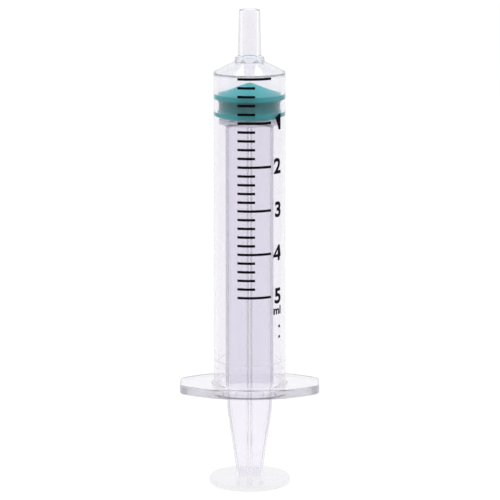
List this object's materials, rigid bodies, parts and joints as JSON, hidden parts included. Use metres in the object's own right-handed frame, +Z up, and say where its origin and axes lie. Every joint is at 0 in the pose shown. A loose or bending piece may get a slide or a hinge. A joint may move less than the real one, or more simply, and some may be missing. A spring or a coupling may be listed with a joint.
{
  "type": "luer slip syringe",
  "caption": "Clear slip-tip syringe with a graduated barrel, oval finger flange, cross-ribbed plunger rod with round thumb disc and a ribbed rubber stopper.",
  "frame": {"origin": "centre of the thumb disc's underside, on the syringe's axis", "axes": "+Z up the syringe's axis to the nozzle, X along the finger flange, -Y to the side that carries the scale"},
  "size_m": [0.027, 0.0168, 0.0926],
  "materials": {
    "clear_barrel": "clear moulded polypropylene",
    "clear_rod": "clear moulded polypropylene",
    "teal_rubber": "smooth oiled rubber",
    "black_ink": "printed ink"
  },
  "bodies": {
    "barrel_body": {"barrel": "clear_barrel", "scale_print": "black_ink"},
    "stopper_body": {"stopper": "teal_rubber"},
    "rod_body": {"plunger_rod": "clear_rod"}
  },
  "joints": [
    {"name": "plunger_slide", "type": "slide", "parent": "barrel_body", "child": "stopper_body", "axis": [0, 0, 1], "range_m": [-0.047, 0.00355]},
    {"name": "rod_spin", "type": "hinge", "parent": "stopper_body", "child": "rod_body", "pos_m": [0, 0, 0.0735], "axis": [0, 0, 1], "continuous": true}
  ]
}
